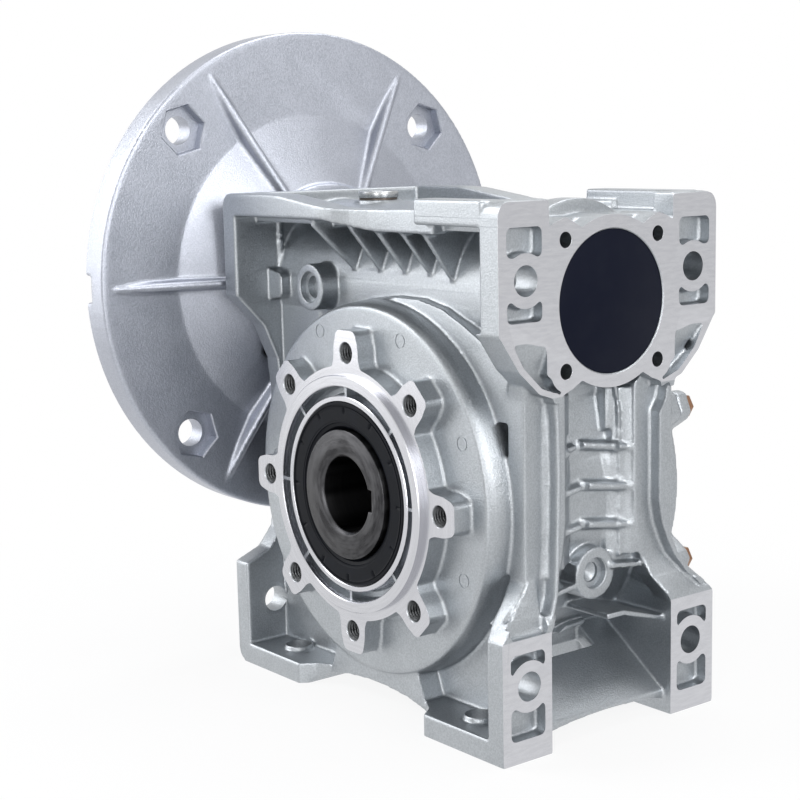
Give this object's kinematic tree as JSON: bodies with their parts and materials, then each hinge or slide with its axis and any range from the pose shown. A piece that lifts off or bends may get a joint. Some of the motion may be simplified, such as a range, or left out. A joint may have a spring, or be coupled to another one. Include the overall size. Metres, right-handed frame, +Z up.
{
  "type": "worm gear reducer",
  "caption": "Right-angle worm gear reducer in a die-cast case, with a hollow keyed output shaft, star-shaped output faces and a round motor flange.",
  "frame": {"origin": "centre of the hollow output shaft's bore, midway along the shaft", "axes": "+X along the worm towards the closed end (the motor flange is at -X), +Y along the output shaft towards the side cover, +Z up, away from the feet"},
  "size_m": [0.237, 0.25, 0.318],
  "materials": {
    "cast_case": "blasted and clear painted die casting",
    "cast_cover": "blasted die casting",
    "cast_flange": "blasted die casting",
    "shaft_steel": "oiled dark steel",
    "ground_steel": "ground steel",
    "bearing_steel": "polished bearing steel",
    "cage_brass": "satin",
    "bronze": "machined bronze",
    "black_rubber": "matte",
    "yellow_zinc": "yellow zinc plated steel",
    "black_steel": "blackened spring steel",
    "plug_steel": "zinc plated",
    "copper": "soft copper"
  },
  "bodies": {
    "case": {"housing": "cast_case", "side_cover": "cast_cover", "cover_oring": "black_rubber", "cover_screws": "yellow_zinc", "front_bearing_outer": "bearing_steel", "rear_bearing_outer": "bearing_steel", "input_bearing_outer": "bearing_steel", "tail_bearing_outer": "bearing_steel", "front_seal": "black_rubber", "rear_seal": "black_rubber", "input_seal": "black_rubber", "input_circlip": "black_steel", "tail_circlip": "black_steel", "end_cap": "black_rubber", "motor_flange": "cast_flange", "flange_oring": "black_rubber", "flange_screws": "black_steel", "filler_plug": "plug_steel", "filler_washer": "copper"},
    "output": {"output_shaft": "shaft_steel", "worm_wheel_rim": "bronze", "front_bearing_inner": "bearing_steel", "rear_bearing_inner": "bearing_steel"},
    "worm": {"worm_shaft": "ground_steel", "input_bearing_inner": "bearing_steel", "tail_bearing_inner": "bearing_steel"},
    "front_cage": {"front_bearing_cage": "cage_brass", "front_bearing_balls": "bearing_steel"},
    "rear_cage": {"rear_bearing_cage": "cage_brass", "rear_bearing_balls": "bearing_steel"},
    "input_cage": {"input_bearing_cage": "cage_brass", "input_bearing_balls": "bearing_steel"},
    "tail_cage": {"tail_bearing_cage": "cage_brass", "tail_bearing_balls": "bearing_steel"}
  },
  "joints": [
    {"name": "output_spin", "type": "hinge", "parent": "case", "child": "output", "pos_m": [0, 0, 0], "axis": [0, 1, 0], "continuous": true},
    {"name": "worm_spin", "type": "hinge", "parent": "case", "child": "worm", "pos_m": [0, 0, 0.09], "axis": [1, 0, 0], "continuous": true},
    {"name": "front_cage_spin", "type": "hinge", "parent": "case", "child": "front_cage", "pos_m": [0, -0.045, 0], "axis": [0, 1, 0], "continuous": true},
    {"name": "rear_cage_spin", "type": "hinge", "parent": "case", "child": "rear_cage", "pos_m": [0, 0.045, 0], "axis": [0, 1, 0], "continuous": true},
    {"name": "input_cage_spin", "type": "hinge", "parent": "case", "child": "input_cage", "pos_m": [-0.0835, 0, 0.09], "axis": [1, 0, 0], "continuous": true},
    {"name": "tail_cage_spin", "type": "hinge", "parent": "case", "child": "tail_cage", "pos_m": [0.0842, 0, 0.09], "axis": [1, 0, 0], "continuous": true}
  ],
  "couplings": [
    {"joint": "worm_spin", "follows": "output_spin", "ratio": -30},
    {"joint": "front_cage_spin", "follows": "output_spin", "ratio": 0.4323},
    {"joint": "rear_cage_spin", "follows": "output_spin", "ratio": 0.4323},
    {"joint": "input_cage_spin", "follows": "output_spin", "ratio": -12.667},
    {"joint": "tail_cage_spin", "follows": "output_spin", "ratio": -11.87}
  ]
}
